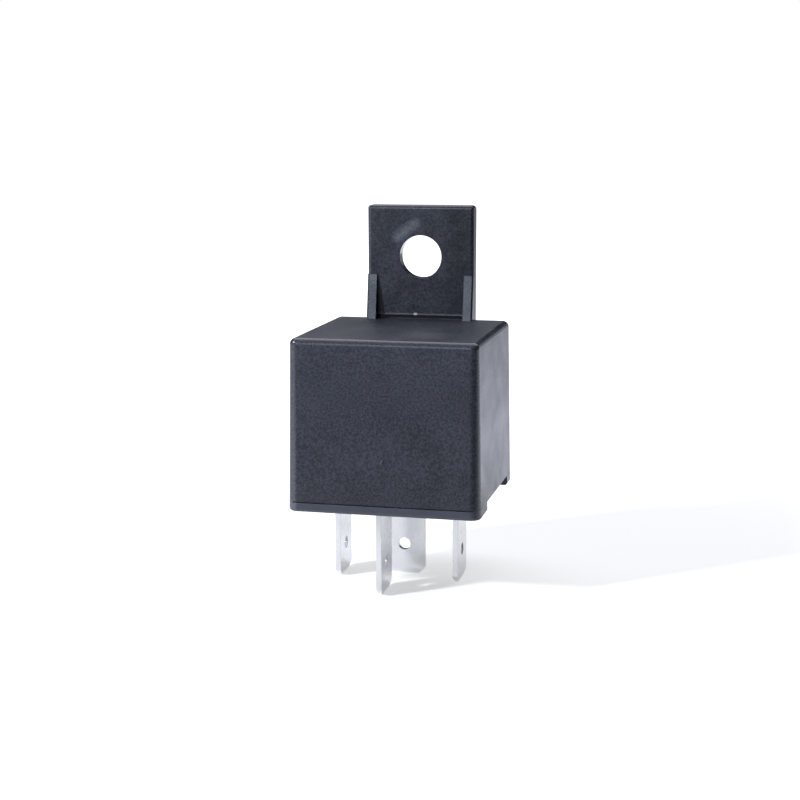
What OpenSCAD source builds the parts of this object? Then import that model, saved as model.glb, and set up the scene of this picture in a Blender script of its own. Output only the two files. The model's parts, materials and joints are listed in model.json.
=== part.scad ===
// Automotive cube relay: break (normally closed) contact, four 6.3 mm blades, moulded fixing tab.
// Millimetres. +Z up, blade tips at z = 0, body centred on x = y = 0, front face towards -Y.

/* [Body] */
// Width of the body at its lower edge
body_w = 28; // [27:0.1:31]
// Depth of the body at its lower edge
body_d = 27; // [26.4:0.1:30]
// Height of the body, lower edge to top of cover
body_h = 24.9; // [24.4:0.1:29]
// Draft of the cover sides in degrees
draft_deg = 1; // [0.3:0.1:1.2]
// Wall thickness of the cover at its top
wall_t = 1.2; // [0.9:0.05:1.3]
// Thickness of the cover roof
roof_t = 1.2; // [0.9:0.05:1.5]
// Radius of the upright corners at the lower edge
corner_r = 1.5; // [1.45:0.05:2.5]
// Radius of the top edges
top_r = 0.9; // [0.5:0.05:0.95]

/* [Base] */
// Height of the base plate's top above the body's lower edge
base_top = 4.6; // [4.5:0.1:4.8]
// Height of the base bars that carry the cover
bar_h = 1.5; // [1.2:0.1:2]
// Depth of the front bar
bar_front = 6; // [5:0.1:7]
// Depth of the rear bar
bar_rear = 4.1; // [3:0.1:5]
// Height of the seam groove between base and cover
seam_h = 0.2; // [0.1:0.05:0.4]
// Depth of the seam groove
seam_d = 0.35; // [0.1:0.05:0.6]
// Distance of the groove's ends from the body's sides
seam_end = 0.9; // [0.5:0.1:3]
// Radius of the bars' lower edges
foot_r = 0.4; // [0.2:0.05:0.6]
// Wall left round the hollows in the bars
pocket_wall = 1.2; // [1:0.1:1.4]
// Length of each snap barb
barb_w = 6; // [4:0.5:8]
// Reach of each snap barb
barb_d = 0.35; // [0.2:0.05:0.45]
// Clearance of the base plug inside the cover
plug_gap = 0.05; // [0.02:0.01:0.1]

/* [Fixing tab] */
// Width of the tab
tab_w = 16.5; // [14:0.1:18]
// Height of the tab above the cover
tab_h = 17.3; // [15:0.1:20]
// Thickness of the tab
tab_t = 2; // [1.6:0.1:2.4]
// Radius of the tab's upper corners
tab_r = 0.6; // [0.5:0.1:3]
// Radius of the tab's front edges
tab_edge = 0.5; // [0.2:0.05:0.6]
// Diameter of the fixing hole
hole_d = 6.5; // [4.5:0.1:7]
// Height of the hole centre above the cover
hole_h = 9.55; // [9:0.05:11]
// Width of each gusset
gusset_w = 1.5; // [1:0.1:2]
// Height of each gusset above the cover
gusset_h = 6.8; // [4:0.1:8]
// Depth of each gusset at the cover
gusset_d = 1.25; // [0.8:0.05:2]
// Depth of each gusset at its upper end
gusset_top = 0.2; // [0.1:0.05:0.4]
// Radius of the gussets' outer front edge
gusset_edge = 0.25; // [0.1:0.05:0.5]
// Height of the groove across the tab's root
root_h = 0.6; // [0.3:0.05:1]
// Depth of the groove across the tab's root
root_d = 0.45; // [0.2:0.05:0.7]
// Height of the parting line's ridge above the groove
ridge_h = 0.2; // [0.1:0.05:0.3]
// Depth of the parting line's ridge
ridge_d = 0.12; // [0.05:0.01:0.2]
// Diameter of the gate mark on the front
gate_d = 0.9; // [0.6:0.1:1.5]
// Height of the gate mark above the body's lower edge
gate_h = 7.6; // [5:0.1:12]
// Rise of the gate mark above the face
gate_t = 0.1; // [0.05:0.01:0.12]

/* [Terminals] */
// Free length of the blades below the body
blade_len = 12.1; // [10:0.1:14]
// Width of each blade
blade_w = 6.3; // [6.2:0.05:6.4]
// Thickness of each blade
blade_t = 0.8; // [0.75:0.01:0.85]
// Diameter of the detent hole
detent_d = 1.8; // [1.6:0.05:2]
// Height of the detent hole above the tip
detent_h = 4.5; // [4:0.1:5]
// Corner chamfer of each tip
tip_c = 1.0; // [0.6:0.05:1.3]
// Thickness left at the tip edge
tip_t = 0.4; // [0.3:0.05:0.6]
// Height of the tip bevel
tip_h = 0.7; // [0.4:0.05:1]
// Width of the necks through the base
neck_w = 4.4; // [4:0.1:4.6]
// Half the distance between the coil blades
coil_blade_x = 8.9; // [8.7:0.05:9.1]
// Sideways shift of the coil blades
coil_shift = -0.3; // [-0.35:0.05:0]
// Coil blades, front to back position
coil_blade_y = -0.55; // [-1:0.05:0]
// Distance of the common blade's middle from the body's front
blade_30_in = 4.3; // [4.3:0.05:4.5]
// Common blade, sideways position
blade_30_x = -0.8; // [-0.9:0.05:0]
// Length of the common terminal's foot under the yoke
foot_l = 4.6; // [4:0.1:5]
// Break blade, front to back position
blade_87a_y = 0.75; // [0.4:0.05:1]

/* [Magnet] */
// Thickness of yoke and armature
iron_t = 1.5; // [1.3:0.05:1.6]
// Width of the yoke
yoke_w = 12; // [10:0.5:13]
// Diameter of the core
core_d = 6; // [5:0.1:6.2]
// Diameter of the pole face
pole_d = 9.6; // [8:0.1:11]
// Width across the bobbin flanges
flange_w = 14.6; // [13.8:0.1:14.8]
// Diameter of the finished winding
winding_d = 13.2; // [12:0.1:13.6]
// Armature stroke in degrees
stroke_deg = 4; // [3:0.1:4.4]

/* [Contacts] */
// Thickness of the contact spring
spring_t = 0.25; // [0.2:0.01:0.3]
// Width of the contact spring
spring_w = 7; // [6:0.1:8]
// Diameter of the moving contact
contact_d = 3; // [2.4:0.1:3.2]
// Thickness of each contact head
contact_t = 0.5; // [0.4:0.05:0.6]
// Gap left between the closed contacts in the model
contact_gap = 0.05; // [0.04:0.01:0.08]

/* [Hidden] */
$fn = 64;
eps = 0.01;
fit = 0.02;                                    // play of a seated piece in its slot or hole
k = tan(draft_deg);
cav_x = body_w/2 - body_h*k - wall_t;          // inside half width of the cover
cav_y = body_d/2 - body_h*k - wall_t;          // inside half depth of the cover
cav_top = body_h - roof_t;                     // underside of the roof
plug_x = cav_x - plug_gap;                     // half width of the base plug
plug_y = cav_y - plug_gap;                     // half depth of the base plug
barb_z = bar_h + 0.9;                          // underside of the snap barbs
barb_h = 1.3;
plate_t = 0.4;                                 // material left above the hollows in the bars
bar_end = 2.2;                                 // solid length at the ends of the bars
web_x = 3.4;                                   // half width of the solid round the common blade
tab_y = body_d/2 - tab_t;                      // front face of the tab

neck_x = neck_w/2;                             // half width of a terminal's neck
coil_x = [coil_shift - coil_blade_x, coil_shift + coil_blade_x];   // coil blades, left and right
blade_30_y = -body_d/2 + blade_30_in;
foot_z = base_top + blade_t;                   // underside of the yoke
strip_z = base_top - blade_t - 0.9;            // underside of the strip laid in the base
rise_y = cav_y - 1.265;                        // inner face of the rising break strip
strip_top = cav_top - 0.4;                     // top of the break strip's arm
guide_h = 0.8;                                 // height of the guides beside the wire posts
guide_l = 1.8;
guide_w = 2;
strip_guide_h = 4;                             // height of the guides beside the rising strip
strip_guide_w = 1.4;
strip_guide_l = 0.6;                           // length of those guides in front of the strip

yoke_z = foot_z + iron_t;                      // top of the yoke's lower leg
yoke_y = -cav_y + 0.865;                       // front face of the yoke
coil_room = 1;                                 // yoke to bobbin flange
leg_short = 1.7;                               // the yoke's leg ends this far short of the flange
contact_room = 2.2;                            // contact's middle to the rising break strip
tip_l = 3.2;                                   // contact's middle to the armature's end
coil_y = yoke_y + iron_t + flange_w/2 + coil_room;   // coil axis
yoke_end = coil_y + flange_w/2 - leg_short;    // rear end of the yoke's lower leg
contact_r = rise_y - contact_room - yoke_y;    // hinge line to moving contact
arm_gap = 0.03;                                // armature to pole face when pulled in
arm_l = contact_r - tip_l;                     // armature length from the hinge line
stack = arm_gap + iron_t + spring_t + contact_t;
pivot_z = strip_top - blade_t - contact_t - contact_gap
        - contact_r*sin(stroke_deg) - stack*cos(stroke_deg);   // yoke top edge and pole face
stake_d = 4;                                   // core's staked end in the yoke
pole_t = 1;                                    // thickness of the pole head
bobbin_z1 = pivot_z - pole_t;                  // top of the bobbin
flange_t = 0.9;
tube_d = core_d + 1.4;                         // outside of the bobbin tube
wind_z0 = yoke_z + flange_t;
wind_z1 = bobbin_z1 - flange_t;
tape_t = 0.12;

rivet_pitch = 4.4;                             // distance between the two rivets of a pair
rivet_d = 1.5;
rivet_head = 2.4;
rivet_t = 0.4;
collar_d = 2.2;                                // riveted collar of each contact
rivet_up = 4.5;                                // rivets above the yoke's lower leg
yoke_rivet_z = yoke_z + rivet_up;
arm_rivet_r = 8.5;
arm_heel = 1.5;                                // length of the bevel over the hinge line
arm_full = 7;                                  // the armature is as wide as the yoke up to here
arm_slim = 9.5;                                // and narrower from here on
arm_step = 1;                                  // shoulder on each side between the two widths
arm_w = yoke_w - 2*arm_step;
spring_end = 1.7;                              // radius of the spring's tip

post_w = 1.6;                                  // wire post width
post_top = 10.2;
wire_d = 0.3;
turns = 3;                                     // turns of each lead round its post
turn_pitch = 0.36;
wrap_h = (turns - 1)*turn_pitch + wire_d;
wrap_z = post_top - 2.75;                      // underside of the lowest turn
notch_d = 0.25;                                // depth of the post's notches under the turns
wrap_x = blade_t/2 + fit + wire_d;             // half size of the turns, across and along the post
wrap_y = post_w/2 - notch_d + fit + wire_d;

resistor_d = 2.2;
resistor_l = 6.3;
resistor_cap = 1.2;                            // length of its thicker ends
resistor_wire = 0.6;
resistor_y = yoke_end + resistor_d/2 + 0.4;    // behind the yoke's leg, lying on the base
resistor_z = base_top + resistor_d/2 + fit;

// ---------- shared shapes ----------

// distance of the drafted side from its corner centre at height h
function side(h, inset) = corner_r - inset - h*k;

// right-hand half of the body's section, from height h0 to h1, around a centre at x = c,
// with the lower edge rounded by r0 and the upper one by r1
function half_section(c, h0, h1, inset, r0, r1) = concat(
    r0 == 0 ? [[c + side(h0, inset), h0]]
    : [for (i = [0:4]) let (a = -90 + i*22.5)
        [c + side(h0, inset) - r0 + r0*cos(a), h0 + r0 + r0*sin(a)]],
    r1 == 0 ? [[c + side(h1, inset), h1]]
    : [for (i = [0:9]) let (a = draft_deg + (90 - draft_deg)*i/9)
        [c + side(h1 - r1, inset) - r1/cos(draft_deg) + r1*cos(a), h1 - r1 + r1*sin(a)]]);

function flipped(pts) = [for (i = [len(pts) - 1:-1:0]) [-pts[i][0], pts[i][1]]];

// the body's outside between two heights, moved in by inset
module block(h0, h1, inset = 0, r0 = 0, r1 = 0) {
    cx = body_w/2 - corner_r;
    cy = body_d/2 - corner_r;
    px = half_section(cx, h0, h1, inset, r0, r1);
    py = half_section(cy, h0, h1, inset, r0, r1);
    pc = half_section(0, h0, h1, inset, r0, r1);
    rotate([90, 0, 0]) linear_extrude(2*cy, center = true) polygon(concat(px, flipped(px)));
    rotate([90, 0, 90]) linear_extrude(2*cx, center = true) polygon(concat(py, flipped(py)));
    for (q = [[1, 1, 0], [-1, 1, 90], [-1, -1, 180], [1, -1, 270]])
        translate([q[0]*cx, q[1]*cy, 0]) rotate([0, 0, q[2]])
            rotate_extrude(angle = 90) polygon(concat([[0, h0]], pc, [[0, h1]]));
}

module box(x0, x1, y0, y1, z0, z1) translate([x0, y0, z0]) cube([x1 - x0, y1 - y0, z1 - z0]);

// everything above is drawn from the body's lower edge; this puts it on its blades
module on_blades() translate([0, 0, blade_len]) children();

// blade in the XZ plane with its neck, centred on x = y = 0, up to height top
module blade(top) {
    w = blade_w/2;
    difference() {
        union() {
            rotate([90, 0, 0]) linear_extrude(blade_t, center = true)
                polygon([[-w + tip_c, -blade_len], [w - tip_c, -blade_len], [w, -blade_len + tip_c],
                         [w, bar_h], [-w, bar_h], [-w, -blade_len + tip_c]]);
            box(-neck_x, neck_x, -blade_t/2, blade_t/2, bar_h - eps, top);
        }
        for (s = [0, 180]) rotate([0, 0, s])
            rotate([90, 0, 90]) linear_extrude(blade_w + 1, center = true)
                polygon([[tip_t/2, -blade_len - eps], [blade_t, -blade_len - eps],
                         [blade_t, -blade_len + tip_h], [blade_t/2, -blade_len + tip_h]]);
        translate([0, 0, detent_h - blade_len]) rotate([90, 0, 0])
            cylinder(d = detent_d, h = blade_t + 1, center = true);
    }
}

// ---------- housing ----------

// points of a quarter circle that starts at angle a
function arc(cx, cy, r, a) = [for (i = [0:4]) [cx + r*cos(a + 22.5*i), cy + r*sin(a + 22.5*i)]];

// strip of width w with its back at y1 and its front at y0, front edges rounded by r, seen from above
module strip_outline(w, y0, y1, r) polygon(concat([[-w/2, y1]], arc(-w/2 + r, y0 + r, r, 180),
    arc(w/2 - r, y0 + r, r, 270), [[w/2, y1]]));

module tab() {
    w = tab_w/2;
    z1 = body_h + tab_h;
    difference() {
        intersection() {
            // outline with rounded upper corners, seen from the front
            translate([0, body_d/2, 0]) rotate([90, 0, 0]) linear_extrude(tab_t)
                polygon(concat([[-w, bar_h], [w, bar_h]], arc(w - tab_r, z1 - tab_r, tab_r, 0),
                    arc(-w + tab_r, z1 - tab_r, tab_r, 90)));
            linear_extrude(z1 + 1) strip_outline(tab_w, tab_y, body_d/2, tab_edge);
            // rounded top front edge, seen from the side
            rotate([90, 0, 90]) linear_extrude(tab_w + 1, center = true)
                polygon(concat([[tab_y, 0], [body_d/2, 0], [body_d/2, z1]],
                    arc(tab_y + tab_edge, z1 - tab_edge, tab_edge, 90)));
        }
        translate([0, body_d/2, body_h + hole_h]) rotate([90, 0, 0])
            translate([0, 0, -1]) cylinder(d = hole_d, h = tab_t + 2);
        box(-w + gusset_w, w - gusset_w, tab_y - 1, tab_y + root_d, body_h, body_h + root_h);
    }
    // ridge of the parting line
    rotate([90, 0, 90]) linear_extrude(tab_w - 2*gusset_w + 2*eps, center = true)
        polygon([[tab_y + eps, body_h + root_h], [tab_y + eps, body_h + root_h + ridge_h],
                 [tab_y - ridge_d, body_h + root_h + ridge_h/2], [tab_y - ridge_d, body_h + root_h]]);
    for (s = [0, 1]) mirror([s, 0, 0]) gusset();
}

// the gusset on the right
module gusset() intersection() {
    deep = tab_y + tab_t/2;
    translate([tab_w/2 - gusset_w, 0, 0]) rotate([90, 0, 90]) linear_extrude(gusset_w)
        polygon([[tab_y - gusset_d, body_h - 0.5], [deep, body_h - 0.5], [deep, body_h + gusset_h],
                 [tab_y - gusset_top, body_h + gusset_h], [tab_y - gusset_d, body_h]]);
    // leaning strip as wide as the tab, with rounded front edges
    translate([0, tab_y - gusset_d, body_h]) rotate([-atan((gusset_d - gusset_top)/gusset_h), 0, 0])
        translate([0, 0, -1]) linear_extrude(gusset_h + 2)
            strip_outline(tab_w, 0, gusset_d + tab_t, gusset_edge);
}

module cover() color([0.16, 0.17, 0.19]) on_blades() difference() {
    union() {
        block(bar_h, body_h, r1 = top_r);
        tab();
        // gate mark
        translate([0, -body_d/2 + gate_h*k + gate_t, gate_h]) rotate([90, 0, 0])
            cylinder(d1 = gate_d, d2 = gate_d/2, h = 2*gate_t);
    }
    box(-cav_x, cav_x, -cav_y, cav_y, bar_h - 1, cav_top);
    // recesses that the base's barbs snap into
    box(-plug_x - barb_d - plug_gap, plug_x + barb_d + plug_gap, -barb_w/2 - plug_gap, barb_w/2 + plug_gap,
        barb_z - plug_gap, barb_z + barb_h + plug_gap);
}

module base() color([0.13, 0.14, 0.15]) on_blades() difference() {
    front = -body_d/2 + bar_front;
    rear = body_d/2 - bar_rear;
    union() {
        // bars front and rear that close the cover's lower edge, flush but for the seam groove
        difference() {
            block(0, bar_h, r0 = foot_r);
            box(-body_w, body_w, front, rear, -1, bar_h + 1);
            difference() {
                box(-body_w/2 + seam_end, body_w/2 - seam_end, -body_d, body_d, bar_h - seam_h, bar_h + 1);
                box(-body_w, body_w, -body_d/2 + seam_d, body_d/2 - seam_d, -1, bar_h + 2);
            }
        }
        box(-plug_x, plug_x, -plug_y, plug_y, bar_h - plate_t + 0.1, base_top);
        // snap barbs left and right
        for (s = [0, 180]) rotate([0, 0, s]) rotate([90, 0, 0]) linear_extrude(barb_w, center = true)
            polygon([[plug_x - eps, barb_z], [plug_x + barb_d, barb_z], [plug_x - eps, barb_z + barb_h]]);
        // ribs under the yoke
        for (s = [-1, 1]) translate([s*(yoke_w/2 - 1.4), 0, 0])
            box(-0.9, 0.9, blade_30_y + neck_x + 1, yoke_end - 0.2, base_top - eps, foot_z);
        // guides beside the wire posts
        for (x = coil_x, t = [-1, 1]) translate([x, coil_blade_y + t*(post_w + guide_l + 0.4)/2, 0])
            box(-guide_w/2, guide_w/2, -guide_l/2, guide_l/2, base_top - eps, base_top + guide_h);
        // guides beside the rising break strip
        for (s = [0, 1]) mirror([s, 0, 0])
            box(neck_x + 0.1, neck_x + 0.1 + strip_guide_w, rise_y - strip_guide_l, plug_y,
                base_top - eps, base_top + strip_guide_h);
    }
    // hollows in the bars, seen from below
    for (s = [0, 1]) mirror([s, 0, 0])
        box(web_x, body_w/2 - bar_end, -body_d/2 + pocket_wall, front - pocket_wall, -1, bar_h - plate_t);
    box(-body_w/2 + bar_end, body_w/2 - bar_end, rear + pocket_wall, body_d/2 - pocket_wall,
        -1, bar_h - plate_t);
    slot(blade_30_x, blade_30_y, 90);
    for (x = coil_x) slot(x, coil_blade_y, 90);
    slot(0, blade_87a_y, 0);
    // channel for the break strip
    box(-neck_x - fit, neck_x + fit, blade_87a_y - blade_t/2 - fit, rise_y + blade_t + fit,
        strip_z - fit, base_top + strip_guide_h + 1);
}

// slot for a terminal: the neck's width all through, the blade's width up to its shoulders
module slot(x, y, turn) translate([x, y, 0]) rotate([0, 0, turn]) {
    box(-neck_x - fit, neck_x + fit, -blade_t/2 - fit, blade_t/2 + fit, -1, base_top + strip_guide_h);
    box(-blade_w/2 - fit, blade_w/2 + fit, -blade_t/2 - fit, blade_t/2 + fit, -1, bar_h + fit);
}

// ---------- terminals ----------

tin = [0.82, 0.82, 0.84];

module terminal_30() color(tin) on_blades() {
    translate([blade_30_x, blade_30_y, 0]) rotate([0, 0, 90]) blade(foot_z);
    box(blade_30_x - blade_t/2, blade_30_x + foot_l, blade_30_y - neck_x, blade_30_y + neck_x,
        base_top + eps, foot_z);
}

module coil_terminal(x) translate([x, coil_blade_y, 0]) rotate([0, 0, 90]) difference() {
    union() {
        blade(base_top + 0.4);
        box(-post_w/2, post_w/2, -blade_t/2, blade_t/2, base_top, post_top);
    }
    // notches that hold the turns of the lead
    for (s = [0, 1]) mirror([s, 0, 0])
        box(post_w/2 - notch_d, post_w, -blade_t, blade_t, wrap_z - 0.1, wrap_z + wrap_h + 0.1);
}
module terminal_85() color(tin) on_blades() coil_terminal(coil_x[1]);
module terminal_86() color(tin) on_blades() coil_terminal(coil_x[0]);

module terminal_87a() color(tin) on_blades() difference() {
    union() {
        translate([0, blade_87a_y, 0]) blade(strip_z + blade_t);
        box(-neck_x, neck_x, blade_87a_y - blade_t/2, rise_y + blade_t, strip_z, strip_z + blade_t);
        box(-neck_x, neck_x, rise_y, rise_y + blade_t, strip_z, strip_top);
        box(-neck_x, neck_x, contact_y - 2.35, rise_y + blade_t, strip_top - blade_t, strip_top);
    }
    translate([0, contact_y, strip_top - blade_t - 1]) cylinder(d = rivet_d + 2*fit, h = blade_t + 2);
}

// ---------- magnet ----------

steel = [0.62, 0.63, 0.64];
contact_y = yoke_y + contact_r*cos(stroke_deg) - stack*sin(stroke_deg);

module yoke() color(steel) on_blades() difference() {
    union() {
        box(-yoke_w/2, yoke_w/2, yoke_y, yoke_y + iron_t, foot_z, pivot_z);
        box(-yoke_w/2, yoke_w/2, yoke_y, yoke_end, foot_z, yoke_z);
    }
    translate([0, coil_y, foot_z - 1]) cylinder(d = stake_d + 2*fit, h = iron_t + 2);
    for (s = [-1, 1]) translate([s*rivet_pitch/2, yoke_y - 1, yoke_rivet_z]) rotate([-90, 0, 0])
        cylinder(d = rivet_d + 2*fit, h = iron_t + 2);
}

module core() color([0.66, 0.66, 0.67]) on_blades() translate([0, coil_y, 0]) {
    translate([0, 0, foot_z - 0.3]) cylinder(d = stake_d, h = iron_t + 0.4);
    translate([0, 0, yoke_z]) cylinder(d = core_d, h = bobbin_z1 - yoke_z + 0.1);
    translate([0, 0, bobbin_z1]) cylinder(d = pole_d, h = pole_t);
}

module bobbin() color([0.86, 0.84, 0.78]) on_blades() translate([0, coil_y, 0]) difference() {
    union() {
        translate([-flange_w/2, -flange_w/2, yoke_z]) cube([flange_w, flange_w, flange_t]);
        translate([0, 0, bobbin_z1 - flange_t]) cylinder(d = flange_w, h = flange_t);
        translate([0, 0, yoke_z]) cylinder(d = tube_d, h = bobbin_z1 - yoke_z);
    }
    translate([0, 0, yoke_z - 1]) cylinder(d = core_d + 2*fit, h = bobbin_z1 - yoke_z + 2);
    // wire notches in the lower flange
    for (s = [-1, 1]) translate([s*flange_w/2, coil_blade_y - coil_y, yoke_z])
        cube([1.6, 1, 4*flange_t], center = true);
}

module coil_winding() color([0.72, 0.33, 0.16]) on_blades() translate([0, coil_y, wind_z0 + fit])
    rotate_extrude() translate([tube_d/2 + fit, 0])
        square([(winding_d - tube_d)/2 - fit, wind_z1 - wind_z0 - 2*fit]);

module coil_tape() color([0.85, 0.70, 0.25]) on_blades() translate([0, coil_y, wind_z0 + 0.2])
    rotate_extrude() translate([winding_d/2 + fit, 0]) square([tape_t, wind_z1 - wind_z0 - 0.4]);

// lead from the winding to the wire post at x: turns round the post, a riser that joins them and a run
module coil_lead(x) translate([x, coil_blade_y, wrap_z]) {
    s = sign(x);
    difference() {
        for (i = [0:turns - 1]) translate([0, 0, i*turn_pitch])
            box(-wrap_x, wrap_x, -wrap_y, wrap_y, 0, wire_d);
        box(-wrap_x + wire_d, wrap_x - wire_d, -wrap_y + wire_d, wrap_y - wire_d, -1, wrap_h + 1);
    }
    box(-wrap_x, -wrap_x + wire_d, -wrap_y, -wrap_y + wire_d, 0, wrap_h);
    translate([-s*(wrap_x - eps), 0, wire_d/2]) rotate([0, -s*90, 0])
        cylinder(d = wire_d, h = abs(x) - wrap_x - winding_d/2 - tape_t - 0.13);
}
module coil_lead_85() color([0.72, 0.33, 0.16]) on_blades() coil_lead(coil_x[1]);
module coil_lead_86() color([0.72, 0.33, 0.16]) on_blades() coil_lead(coil_x[0]);

// resistor across the coil, with a lead to the back of each wire post
module coil_resistor() color([0.45, 0.58, 0.62]) on_blades() {
    translate([0, resistor_y, resistor_z]) rotate([0, 90, 0]) {
        cylinder(d = resistor_d - 0.2, h = resistor_l, center = true);
        for (s = [-1, 1]) translate([0, 0, s*(resistor_l - resistor_cap)/2])
            cylinder(d = resistor_d, h = resistor_cap, center = true);
    }
    lead_end = coil_blade_y + post_w/2 + fit;
    for (x = coil_x) {
        translate([0, resistor_y, resistor_z]) rotate([0, sign(x)*90, 0])
            cylinder(d = resistor_wire, h = abs(x));
        translate([x, resistor_y, resistor_z]) sphere(d = resistor_wire + 0.1);
        translate([x, lead_end, resistor_z]) rotate([-90, 0, 0])
            cylinder(d = resistor_wire, h = resistor_y - lead_end);
    }
}

// ---------- moving parts, drawn pulled in and then swung open to rest ----------

// turns a piece drawn with the hinge line as origin into its rest place
module at_rest() on_blades() translate([0, yoke_y, pivot_z]) rotate([stroke_deg, 0, 0]) children();

module armature() color(steel) at_rest() difference() {
    union() {
        rotate([90, 0, 90]) linear_extrude(yoke_w, center = true)
            polygon([[0.1, arm_gap], [arm_full, arm_gap], [arm_full, arm_gap + iron_t],
                     [arm_heel, arm_gap + iron_t], [0.1, arm_gap + 0.4]]);
        translate([0, 0, arm_gap]) linear_extrude(iron_t)
            polygon([[-yoke_w/2, arm_heel + 1], [yoke_w/2, arm_heel + 1], [yoke_w/2, arm_full],
                     [arm_w/2, arm_slim], [arm_w/2, arm_l], [-arm_w/2, arm_l], [-arm_w/2, arm_slim],
                     [-yoke_w/2, arm_full]]);
    }
    for (s = [-1, 1]) translate([s*rivet_pitch/2, arm_rivet_r, -1]) cylinder(d = rivet_d + 2*fit, h = 4);
}

spring_z = arm_gap + iron_t + spring_t/2;      // middle of the spring above the hinge plane

// middle line of the spring in the rest pose, [y, z] from the hinge line
bend_r = 1.25;
bend_y = -fit - spring_t/2 + bend_r;
bend_z = (spring_z - bend_r - bend_y*(-sin(stroke_deg)))/cos(stroke_deg);
spring_low = yoke_rivet_z - 2 - pivot_z;
function bend_line(r) = concat([[-fit - spring_t/2 - (r - bend_r), spring_low]],
    [for (i = [0:10]) let (a = 180 - i*(90 - stroke_deg)/10) [bend_y + r*cos(a), bend_z + r*sin(a)]],
    [[bend_y + r*cos(90 + stroke_deg) + 2.5*cos(stroke_deg),
      bend_z + r*sin(90 + stroke_deg) + 2.5*sin(stroke_deg)]]);
function backwards(v) = [for (i = [len(v) - 1:-1:0]) v[i]];

module contact_spring() color([0.80, 0.62, 0.36]) {
    on_blades() translate([0, yoke_y, pivot_z]) difference() {
        rotate([90, 0, 90]) linear_extrude(spring_w, center = true)
            polygon(concat(bend_line(bend_r + spring_t/2), backwards(bend_line(bend_r - spring_t/2))));
        for (s = [-1, 1]) translate([s*rivet_pitch/2, -2, yoke_rivet_z - pivot_z]) rotate([-90, 0, 0])
            cylinder(d = rivet_d + 2*fit, h = 3);
    }
    at_rest() difference() {
        translate([0, 0, arm_gap + iron_t]) {
            linear_extrude(spring_t) polygon([[-spring_w/2, 3], [spring_w/2, 3], [spring_w/2, arm_l - 2],
                [spring_end, arm_l + 1.5], [spring_end, contact_r], [-spring_end, contact_r],
                [-spring_end, arm_l + 1.5], [-spring_w/2, arm_l - 2]]);
            translate([0, contact_r, 0]) cylinder(r = spring_end, h = spring_t);
        }
        for (s = [-1, 1]) translate([s*rivet_pitch/2, arm_rivet_r, 0]) cylinder(d = rivet_d + 2*fit, h = 4);
        translate([0, contact_r, 0]) cylinder(d = rivet_d + 2*fit, h = 4);
    }
}

module moving_contact() color([0.86, 0.85, 0.82]) at_rest() translate([0, contact_r, arm_gap + iron_t]) {
    translate([0, 0, -0.3]) cylinder(d = rivet_d, h = spring_t + 0.4);
    translate([0, 0, -0.35]) cylinder(d = collar_d, h = 0.35);
    intersection() {
        translate([0, 0, spring_t]) cylinder(d = contact_d, h = contact_t + 1);
        translate([0, 0, spring_t + contact_t - 8]) sphere(r = 8);
    }
}

module fixed_contact() color([0.86, 0.85, 0.82]) on_blades() translate([0, contact_y, strip_top - blade_t]) {
    translate([0, 0, -contact_t]) cylinder(d = contact_d + 0.2, h = contact_t);
    translate([0, 0, -0.1]) cylinder(d = rivet_d, h = blade_t + 0.2);
    translate([0, 0, blade_t]) cylinder(d = collar_d, h = 0.2);
}

module spring_rivets_yoke() color([0.75, 0.68, 0.50]) on_blades()
    for (s = [-1, 1]) translate([s*rivet_pitch/2, yoke_y, yoke_rivet_z]) rotate([-90, 0, 0]) {
        translate([0, 0, -spring_t - fit]) cylinder(d = rivet_d, h = iron_t + spring_t + fit);
        translate([0, 0, -spring_t - fit - rivet_t]) cylinder(d = rivet_head, h = rivet_t);
    }

module spring_rivets_armature() color([0.75, 0.68, 0.50]) at_rest()
    for (s = [-1, 1]) translate([s*rivet_pitch/2, arm_rivet_r, arm_gap]) {
        cylinder(d = rivet_d, h = iron_t + spring_t);
        translate([0, 0, iron_t + spring_t]) cylinder(d = rivet_head, h = rivet_t);
    }

cover();
base();
terminal_30();
terminal_85();
terminal_86();
terminal_87a();
yoke();
core();
bobbin();
coil_winding();
coil_tape();
coil_lead_85();
coil_lead_86();
coil_resistor();
armature();
contact_spring();
moving_contact();
fixed_contact();
spring_rivets_yoke();
spring_rivets_armature();
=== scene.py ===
"""Looks of the automotive relay: materials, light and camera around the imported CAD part. Metres, +Z up."""

import json
import math

import bpy
from mathutils import Matrix, Vector


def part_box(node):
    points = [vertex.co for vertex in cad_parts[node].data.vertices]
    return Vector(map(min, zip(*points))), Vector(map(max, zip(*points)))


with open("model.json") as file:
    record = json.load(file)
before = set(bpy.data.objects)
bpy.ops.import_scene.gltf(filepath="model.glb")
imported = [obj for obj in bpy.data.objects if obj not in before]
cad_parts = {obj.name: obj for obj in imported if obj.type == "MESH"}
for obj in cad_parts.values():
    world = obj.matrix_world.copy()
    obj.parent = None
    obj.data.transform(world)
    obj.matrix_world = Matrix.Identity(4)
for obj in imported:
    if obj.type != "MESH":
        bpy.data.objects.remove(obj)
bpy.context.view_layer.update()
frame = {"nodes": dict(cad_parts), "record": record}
NODES = frame["nodes"]
MM = 0.001
BEVEL_SAMPLES = 6


# ---------- node helpers ----------

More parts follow.
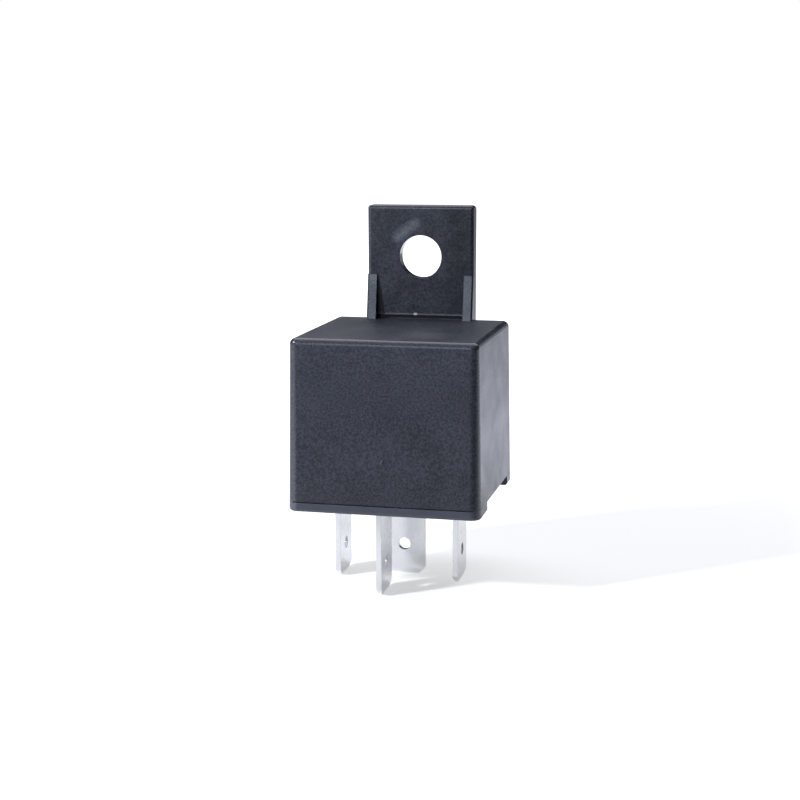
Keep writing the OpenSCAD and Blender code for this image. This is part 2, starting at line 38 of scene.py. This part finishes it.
class Graph:
    """One material or world node tree, with short calls for the nodes used here."""

    def __init__(self, tree):
        self.tree = tree
        self.tree.nodes.clear()

    def add(self, kind, **values):
        node = self.tree.nodes.new(kind)
        for key, value in values.items():
            setattr(node, key, value)
        return node

    def link(self, source, target):
        self.tree.links.new(source, target)

    def noise(self, coords, size, detail=2.0, rough=0.5, stretch=(1, 1, 1)):
        """Noise whose features are about size metres across."""
        mapping = self.add("ShaderNodeMapping")
        mapping.inputs["Scale"].default_value = [s / size for s in stretch]
        self.link(coords, mapping.inputs["Vector"])
        noise = self.add("ShaderNodeTexNoise")
        noise.inputs["Scale"].default_value = 1.0
        noise.inputs["Detail"].default_value = detail
        noise.inputs["Roughness"].default_value = rough
        self.link(mapping.outputs["Vector"], noise.inputs["Vector"])
        return noise.outputs["Fac"]

    def spread(self, source, low, high, start=0.3, end=0.7):
        """Maps source from start..end to low..high."""
        node = self.add("ShaderNodeMapRange")
        node.inputs["From Min"].default_value = start
        node.inputs["From Max"].default_value = end
        node.inputs["To Min"].default_value = low
        node.inputs["To Max"].default_value = high
        self.link(source, node.inputs["Value"])
        return node.outputs["Result"]

    def mix(self, factor, a, b):
        """Mixes two colours, given as sockets or as triples."""
        node = self.add("ShaderNodeMix", data_type="RGBA")
        for value, socket in ((factor, node.inputs[0]), (a, node.inputs[6]), (b, node.inputs[7])):
            if isinstance(value, bpy.types.NodeSocket):
                self.link(value, socket)
            elif isinstance(value, (int, float)):
                socket.default_value = value
            else:
                socket.default_value = (*value, 1)
        return node.outputs[2]

    def tint(self, factor, base, by):
        """Multiplies the colour base by the colour by, where factor is 1."""
        node = self.add("ShaderNodeMix", data_type="RGBA", blend_type="MULTIPLY")
        self.link(factor, node.inputs[0])
        self.link(base, node.inputs[6])
        self.link(by, node.inputs[7])
        return node.outputs[2]

    def math(self, operation, *values):
        node = self.add("ShaderNodeMath", operation=operation)
        for value, socket in zip(values, node.inputs):
            if isinstance(value, bpy.types.NodeSocket):
                self.link(value, socket)
            else:
                socket.default_value = value
        return node.outputs[0]

    def ramp(self, factor, stops):
        """Brightness along factor, as pairs of place and value."""
        node = self.add("ShaderNodeValToRGB")
        elements = node.color_ramp.elements
        for place, value in stops[1:-1]:
            elements.new(place)
        for element, (place, value) in zip(elements, stops):
            element.position = place
            element.color = (value, value, value, 1)
        self.link(factor, node.inputs["Fac"])
        return node.outputs["Color"]

    def around(self, coords, tables, brightest=1.0):
        """Each table as a brightness on the way round the object. A table pairs a bearing with a value."""
        split = self.add("ShaderNodeSeparateXYZ")
        self.link(coords, split.inputs[0])
        bearing = self.math("ARCTAN2", split.outputs["X"], self.math("MULTIPLY", split.outputs["Y"], -1.0))
        turned = self.spread(bearing, 0.0, 1.0, -math.pi, math.pi)
        return [self.ramp(turned, [((degrees + 180) / 360, value / brightest) for degrees, value in table])
                for table in tables]

    def bump(self, height, strength, distance, normal=None):
        node = self.add("ShaderNodeBump")
        node.inputs["Strength"].default_value = strength
        node.inputs["Distance"].default_value = distance
        self.link(height, node.inputs["Height"])
        if normal is not None:
            self.link(normal, node.inputs["Normal"])
        return node.outputs["Normal"]

    def edges(self, radius, start=0.01, end=0.12):
        """The normal of edges rounded to this radius, and a mask that is 1 on the edges."""
        bevel = self.add("ShaderNodeBevel", samples=BEVEL_SAMPLES)
        bevel.inputs["Radius"].default_value = radius
        across = self.add("ShaderNodeVectorMath", operation="DOT_PRODUCT")
        self.link(bevel.outputs["Normal"], across.inputs[0])
        self.link(self.add("ShaderNodeNewGeometry").outputs["Normal"], across.inputs[1])
        return bevel.outputs["Normal"], self.spread(across.outputs["Value"], 1.0, 0.0, 1 - end, 1 - start)

    def near(self, coords, a, b, width):
        """A soft mask round the line from a to b, in metres: 1 on it, 0 at width from it."""
        a, b = Vector(a), Vector(b)
        offset = self.add("ShaderNodeVectorMath", operation="SUBTRACT")
        self.link(coords, offset.inputs[0])
        offset.inputs[1].default_value = a
        along = self.add("ShaderNodeVectorMath", operation="DOT_PRODUCT")
        self.link(offset.outputs[0], along.inputs[0])
        along.inputs[1].default_value = b - a
        share = self.spread(along.outputs["Value"], 0.0, 1.0, 0.0, (b - a).length_squared)
        nearest = self.add("ShaderNodeVectorMath", operation="SCALE")
        nearest.inputs[0].default_value = b - a
        self.link(share, nearest.inputs["Scale"])
        gap = self.add("ShaderNodeVectorMath", operation="DISTANCE")
        self.link(offset.outputs[0], gap.inputs[0])
        self.link(nearest.outputs[0], gap.inputs[1])
        return self.spread(gap.outputs["Value"], 1.0, 0.0, 0.0, width)


def new_material(name):
    """A material with a Principled shader: returns it, its graph, the shader and the object coordinates."""
    material = bpy.data.materials.new(name)
    material.use_nodes = True
    graph = Graph(material.node_tree)
    shader = graph.add("ShaderNodeBsdfPrincipled")
    output = graph.add("ShaderNodeOutputMaterial")
    graph.link(shader.outputs[0], output.inputs["Surface"])
    coords = graph.add("ShaderNodeTexCoord").outputs["Object"]
    return material, graph, shader, coords


# the front of the cover's tab, in millimetres
TAB_THICKNESS = 2
TAB_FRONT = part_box("cover")[1][1] / MM - TAB_THICKNESS
HOLE_X, HOLE_Z = 0.0, 46.55
RIDGE_Z = 37.7
TAB_CLOUDS = 2.4
TAB_DARK, TAB_LIGHT = (0.64, 0.65, 0.68), (1.12, 1.12, 1.12)
# painted shade: the tab is darkened towards its right, between these x in millimetres, down to this share
TAB_PAINTED_SHADE_X = (2.5, 5.0)
TAB_PAINTED_SHADE = 0.72
PATCHES = 0.5
# marks and painted highlights on it: both ends as x and z, width, strength, whether patchy, colour
TAB_MARKS_AND_HIGHLIGHTS = (
    # painted highlight streak above the hole
    ((HOLE_X - 3.6, HOLE_Z + 2.9), (HOLE_X - 0.9, HOLE_Z + 5.0), 1.15, 0.9, True, (0.17, 0.19, 0.215)),
    # weld line beside the hole
    ((HOLE_X + 3.3, HOLE_Z - 0.75), (HOLE_X + 8.2, HOLE_Z - 0.65), 0.16, 0.5, False, (0.008, 0.009, 0.012)),
    # painted highlight along the ridge of the parting line, and a painted glint on it
    ((-6.7, RIDGE_Z), (6.7, RIDGE_Z), 0.26, 0.9, True, (0.16, 0.17, 0.19)),
    ((-0.85, RIDGE_Z), (-0.75, RIDGE_Z), 0.35, 1.0, False, (0.75, 0.76, 0.78)),
)


def on_tab(x, z):
    """A point on the tab's front, x and z in millimetres, in metres."""
    return x * MM, TAB_FRONT * MM, z * MM


def cover_marks_and_painted_light(g, coords, skin):
    """On the tab: cloudy tone, painted shade towards its right, a weld line and painted highlights."""
    split = g.add("ShaderNodeSeparateXYZ")
    g.link(coords, split.inputs[0])
    on = g.spread(split.outputs["Z"], 0.0, 1.0, (RIDGE_Z - 0.3) * MM, (RIDGE_Z + 0.3) * MM)
    blotch = g.noise(coords, TAB_CLOUDS * MM, detail=4, rough=0.65, stretch=(1, 1, 0.7))
    skin = g.tint(on, skin, g.mix(g.spread(blotch, 0, 1, 0.36, 0.64), TAB_DARK, TAB_LIGHT))
    # painted shade: darker towards the tab's right
    skin = g.tint(on, skin, g.spread(split.outputs["X"], 1.0, TAB_PAINTED_SHADE, *(x * MM for x in TAB_PAINTED_SHADE_X)))
    broken = g.spread(g.noise(coords, PATCHES * MM, detail=3, rough=0.7), 0.35, 1.0, 0.35, 0.65)
    for start, end, width, strength, patchy, colour in TAB_MARKS_AND_HIGHLIGHTS:
        mark = g.near(coords, on_tab(*start), on_tab(*end), width * MM)
        if patchy:
            mark = g.math("MULTIPLY", mark, broken)
        skin = g.mix(g.math("MULTIPLY", mark, strength), skin, colour)
    return skin


# sizes in the surface of moulded plastic, in millimetres
FINE, GRAIN, CLOUD = 0.15, 0.30, 5
ROUNDED_EDGE = 0.14
# largest part of the unit normal: from a fillet to a flat face
FILLET, FLAT = 0.985, 0.9995
FILLET_POLISH = 0.16
FILLET_GLOSS, FLAT_GLOSS = 0.5, 0.25
FILLET_GRAIN = 0.15
ROUGHNESS_RANGE = 0.05


def plastic(name, colour, light, roughness, grain_depth, marks_and_painted_light=None):
    """Moulded plastic: a fine eroded grain on the flat faces, polished fillets, rounded edges, and edges
    painted paler in patches as a painted highlight.
    """
    material, g, shader, coords = new_material(name)
    fine = g.noise(coords, FINE * MM, detail=2, rough=0.6)
    grain = g.noise(coords, GRAIN * MM, detail=2, rough=0.6)
    cloud = g.noise(coords, CLOUD * MM, detail=3)
    normal = g.add("ShaderNodeVectorMath", operation="ABSOLUTE")
    g.link(g.add("ShaderNodeNewGeometry").outputs["True Normal"], normal.inputs[0])
    split = g.add("ShaderNodeSeparateXYZ")
    g.link(normal.outputs[0], split.inputs[0])
    along = g.math("MAXIMUM", g.math("MAXIMUM", split.outputs[0], split.outputs[1]), split.outputs[2])
    flat = g.spread(along, 0.0, 1.0, FILLET, FLAT)
    tone = g.math("ADD", g.math("MULTIPLY", grain, 0.85), g.math("MULTIPLY", cloud, 0.15))
    skin = g.mix(g.spread(tone, 0, 1, 0.38, 0.62), colour, light)
    if marks_and_painted_light:
        skin = marks_and_painted_light(g, coords, skin)
    rounded, edge_mask = g.edges(ROUNDED_EDGE * MM)
    # painted highlight: the edges are painted paler in patches
    painted_edge_highlight = g.math("MULTIPLY", edge_mask, g.spread(cloud, 0.1, 0.5, 0.4, 0.6))
    edge_highlight_colour = tuple(0.10 + 0.6 * c for c in light)
    g.link(g.mix(painted_edge_highlight, skin, edge_highlight_colour), shader.inputs["Base Color"])
    polish = g.spread(flat, -FILLET_POLISH, 0.0, 0, 1)
    matt = g.spread(cloud, roughness - ROUGHNESS_RANGE, roughness + ROUGHNESS_RANGE)
    g.link(g.math("ADD", matt, polish), shader.inputs["Roughness"])
    # the pores of the grain swallow part of the gloss
    g.link(g.spread(flat, FILLET_GLOSS, FLAT_GLOSS, 0, 1), shader.inputs["Specular IOR Level"])
    depth = g.spread(flat, FILLET_GRAIN, 1.0, 0, 1)
    height = g.math("MULTIPLY", g.math("ADD", grain, g.math("MULTIPLY", fine, 0.5)), depth)
    g.link(g.bump(height, 1.0, grain_depth * MM, rounded), shader.inputs["Normal"])
    return material


# sizes in the surface of metal, in millimetres
METAL_CLOUD = 2.2
SHEARED_EDGE = 0.10
STREAK_DEPTH = 0.006


def metal(name, colour, dark, roughness, streak=(1, 1, 0.08), size=0.12):
    """Plated or rolled metal with fine drawing streaks along one axis and darker sheared edges."""
    material, g, shader, coords = new_material(name)
    shader.inputs["Metallic"].default_value = 1.0
    lines = g.noise(coords, size * MM, detail=2, stretch=streak)
    cloud = g.noise(coords, METAL_CLOUD * MM, detail=4, rough=0.6)
    tone = g.math("ADD", g.math("MULTIPLY", lines, 0.4), g.math("MULTIPLY", cloud, 0.6))
    rounded, edge_mask = g.edges(SHEARED_EDGE * MM)
    rolled = g.mix(g.spread(tone, 0, 1, 0.35, 0.65), dark, colour)
    sheared = tuple(0.72 * c for c in dark)
    g.link(g.mix(g.math("MULTIPLY", edge_mask, 0.6), rolled, sheared), shader.inputs["Base Color"])
    g.link(g.spread(cloud, roughness - 0.04, roughness + 0.06), shader.inputs["Roughness"])
    g.link(g.bump(lines, 0.25, STREAK_DEPTH * MM, rounded), shader.inputs["Normal"])
    return material


MATERIALS = {
    "cover_plastic": plastic("cover_plastic", (0.022, 0.026, 0.035), (0.055, 0.061, 0.078), 0.36, 0.020,
                             cover_marks_and_painted_light),
    "base_plastic": plastic("base_plastic", (0.066, 0.074, 0.098), (0.078, 0.087, 0.115), 0.36, 0.012),
    "tinned_brass": metal("tinned_brass", (0.84, 0.84, 0.86), (0.76, 0.77, 0.80), 0.24),
    "relay_iron": metal("relay_iron", (0.58, 0.59, 0.60), (0.46, 0.47, 0.49), 0.38),
    "bobbin_nylon": plastic("bobbin_nylon", (0.74, 0.71, 0.62), (0.82, 0.79, 0.70), 0.42, 0.008),
    "enamelled_copper": metal("enamelled_copper", (0.62, 0.22, 0.07), (0.45, 0.14, 0.04), 0.25,
                              streak=(0.1, 0.1, 1), size=0.15),
    "coil_tape": plastic("coil_tape", (0.75, 0.52, 0.10), (0.82, 0.60, 0.14), 0.22, 0.004),
    "resistor_coat": plastic("resistor_coat", (0.26, 0.44, 0.50), (0.34, 0.52, 0.58), 0.30, 0.004),
    "spring_bronze": metal("spring_bronze", (0.78, 0.52, 0.26), (0.62, 0.40, 0.20), 0.28,
                           streak=(1, 0.08, 1)),
    "contact_silver": metal("contact_silver", (0.86, 0.84, 0.80), (0.74, 0.72, 0.68), 0.24),
}

for part in frame["record"]["subparts"]:
    slots = NODES[part["node"]].data.materials
    slots.clear()
    slots.append(MATERIALS[part["material_slot"]])


# ---------- floor, light and camera ----------

# What gloss sees on the way round: bearing in degrees from the front, to the right, and brightness.
# Under the horizon: a white table behind, a white card on the left and another on the right.
TABLE = ((-180, 1.85), (-172, 1.85), (-132, 1.3), (-98, 1.2), (-76, 1.9), (-60, 2.2), (-44, 3.0), (-30, 2.4),
         (-18, 0.3), (-8, 0.1), (44, 0.05), (76, 0.7), (108, 1.6), (134, 1.7), (158, 1.85), (180, 1.85))
# at the horizon: the upper ends of the cards
HORIZON = ((-180, 0.2), (-150, 0.1), (-100, 0.3), (-60, 0.8), (-42, 1.3), (-30, 1.1), (-18, 0.03),
           (70, 0.03), (130, 0.9), (180, 0.36))
# on the floor close by, and right under the object
NEAR = ((-180, 0.16), (-60, 0.43), (-13, 0.43), (16, 0.40), (34, 0.02), (80, 0.02), (122, 0.4), (158, 0.48),
        (180, 0.16))
UNDER = (0.42, 0.42, 0.42)
CEILING = 0.56
BRIGHTEST = 4.0
AMBIENT = 0.03
GLOSS_TINT = (0.94, 0.965, 1.11)

FLOOR_SIZE = 30
PAPER = (0.8, 0.8, 0.8, 1)
# distances on the floor: to the camera it turns white, to gloss it first shows the cards, then the table
WHITE_FROM, WHITE_BY = 0.06, 0.45
UNDER_TO, NEAR_FROM = 0.008, 0.022
NEAR_TO, TABLE_FROM = 0.035, 0.085


def build_floor():
    """Matt pale floor. To the camera it brightens to white with distance and keeps the shadow near the part. To
    gloss it glows by bearing near the part, a painted reflection, and turns see-through further out.
    """
    bpy.ops.mesh.primitive_plane_add(size=FLOOR_SIZE, location=(0, 0, 0))
    floor = bpy.context.object
    floor.name = "floor"
    material = bpy.data.materials.new("floor")
    material.use_nodes = True
    g = Graph(material.node_tree)
    paper = g.add("ShaderNodeBsdfDiffuse")
    paper.inputs["Color"].default_value = PAPER
    coords = g.add("ShaderNodeTexCoord").outputs["Object"]
    length = g.add("ShaderNodeVectorMath", operation="LENGTH")
    g.link(coords, length.inputs[0])
    distance = length.outputs["Value"]
    path = g.add("ShaderNodeLightPath")
    white = g.spread(distance, 0.55, 1.0, WHITE_FROM, WHITE_BY)
    near, = g.around(coords, [NEAR])
    card = g.mix(g.spread(distance, 0.0, 1.0, UNDER_TO, NEAR_FROM), UNDER, near)
    glow = g.add("ShaderNodeEmission")
    g.link(g.math("ADD", g.math("MULTIPLY", path.outputs["Is Camera Ray"], white),
                  g.math("MULTIPLY", path.outputs["Is Glossy Ray"], card)), glow.inputs["Strength"])
    both = g.add("ShaderNodeAddShader")
    g.link(paper.outputs[0], both.inputs[0])
    g.link(glow.outputs[0], both.inputs[1])
    far = g.add("ShaderNodeMixShader")
    g.link(g.math("MULTIPLY", path.outputs["Is Glossy Ray"],
                  g.spread(distance, 0.0, 1.0, NEAR_TO, TABLE_FROM)), far.inputs[0])
    g.link(both.outputs[0], far.inputs[1])
    g.link(g.add("ShaderNodeBsdfTransparent").outputs[0], far.inputs[2])
    g.link(far.outputs[0], g.add("ShaderNodeOutputMaterial").inputs["Surface"])
    floor.data.materials.append(material)


def build_world():
    """White to the camera, a dim even light for matt surfaces and a studio with a white table for gloss."""
    world = bpy.data.worlds.new("studio")
    bpy.context.scene.world = world
    world.use_nodes = True
    g = Graph(world.node_tree)
    path = g.add("ShaderNodeLightPath")
    coords = g.add("ShaderNodeTexCoord").outputs["Generated"]
    table, horizon = g.around(coords, [TABLE, HORIZON], BRIGHTEST)
    split = g.add("ShaderNodeSeparateXYZ")
    g.link(coords, split.inputs[0])
    z = split.outputs["Z"]
    low = g.mix(g.spread(z, 0.0, 1.0, -0.17, -0.07), table, horizon)
    below = g.math("MULTIPLY", low, g.spread(z, BRIGHTEST, 0.0, 0.03, 0.17))
    gloss = g.math("ADD", below, g.spread(z, 0.0, CEILING, 0.5, 0.8))
    mirrored = g.math("MAXIMUM", path.outputs["Is Glossy Ray"], path.outputs["Is Transmission Ray"])
    strength = g.add("ShaderNodeMix", data_type="FLOAT")
    g.link(mirrored, strength.inputs[0])
    strength.inputs[2].default_value = AMBIENT
    g.link(gloss, strength.inputs[3])
    seen = g.add("ShaderNodeMix", data_type="FLOAT")
    g.link(path.outputs["Is Camera Ray"], seen.inputs[0])
    g.link(strength.outputs[0], seen.inputs[2])
    seen.inputs[3].default_value = 1.0
    background = g.add("ShaderNodeBackground")
    g.link(g.mix(mirrored, (1, 1, 1), GLOSS_TINT), background.inputs["Color"])
    g.link(seen.outputs[0], background.inputs["Strength"])
    g.link(background.outputs[0], g.add("ShaderNodeOutputWorld").inputs["Surface"])


LAMP_TARGET = (0, 0, 0.03)
DAYLIGHT, COOL = (0.96, 0.985, 1.05), (0.86, 0.98, 1.14)
# name, azimuth (0 in front, positive to the right), elevation, distance, size, power, gloss only, colour
LAMPS = (
    ("key", -51, 31, 0.55, 0.06, 2.8, False, DAYLIGHT),
    ("top_back", 182, 58, 0.6, 0.8, 3.2, False, DAYLIGHT),
    ("front", -13, 12, 0.6, 0.16, 0.36, True, COOL),
    ("front_high", -13, 28, 0.6, 0.16, 0.16, True, COOL),
)


def area_light(name, azimuth, elevation, distance, size, power, gloss_only, colour):
    """A square lamp aimed at the object."""
    a, e = math.radians(azimuth), math.radians(elevation)
    offset = Vector((math.sin(a) * math.cos(e), -math.cos(a) * math.cos(e), math.sin(e))) * distance
    lamp = bpy.data.lights.new(name, "AREA")
    lamp.size = size
    lamp.energy = power
    lamp.color = colour
    holder = bpy.data.objects.new(name, lamp)
    holder.location = Vector(LAMP_TARGET) + offset
    holder.rotation_euler = offset.to_track_quat("Z", "Y").to_euler()
    holder.visible_diffuse = not gloss_only
    bpy.context.collection.objects.link(holder)


# the camera, fitted to the photograph: degrees to the right, down and round, place in millimetres
YAW, PITCH, ROLL = 13.34, 10.211, -0.176
CAMERA_PLACE = (52.68, -224.43, 67.96)
SENSOR, LENS = 36, 71.52


def build_camera():
    """The camera in front, a little to the right and above, level with the tab's hole."""
    yaw, pitch, roll = math.radians(YAW), math.radians(PITCH), math.radians(ROLL)
    forward = Vector((-math.sin(yaw) * math.cos(pitch), math.cos(yaw) * math.cos(pitch), -math.sin(pitch)))
    right = Vector((math.cos(yaw), math.sin(yaw), 0))
    up = right.cross(forward)
    right, up = (right * math.cos(roll) + up * math.sin(roll),
                 up * math.cos(roll) - right * math.sin(roll))
    camera = bpy.data.cameras.new("camera")
    camera.sensor_width = SENSOR
    camera.lens = LENS
    holder = bpy.data.objects.new("camera", camera)
    holder.matrix_world = Matrix((right, up, -forward)).transposed().to_4x4()
    holder.location = Vector(CAMERA_PLACE) * MM
    bpy.context.collection.objects.link(holder)
    bpy.context.scene.camera = holder


build_floor()
build_world()
for lamp in LAMPS:
    area_light(*lamp)
build_camera()
bpy.context.scene.view_settings.view_transform = "Standard"
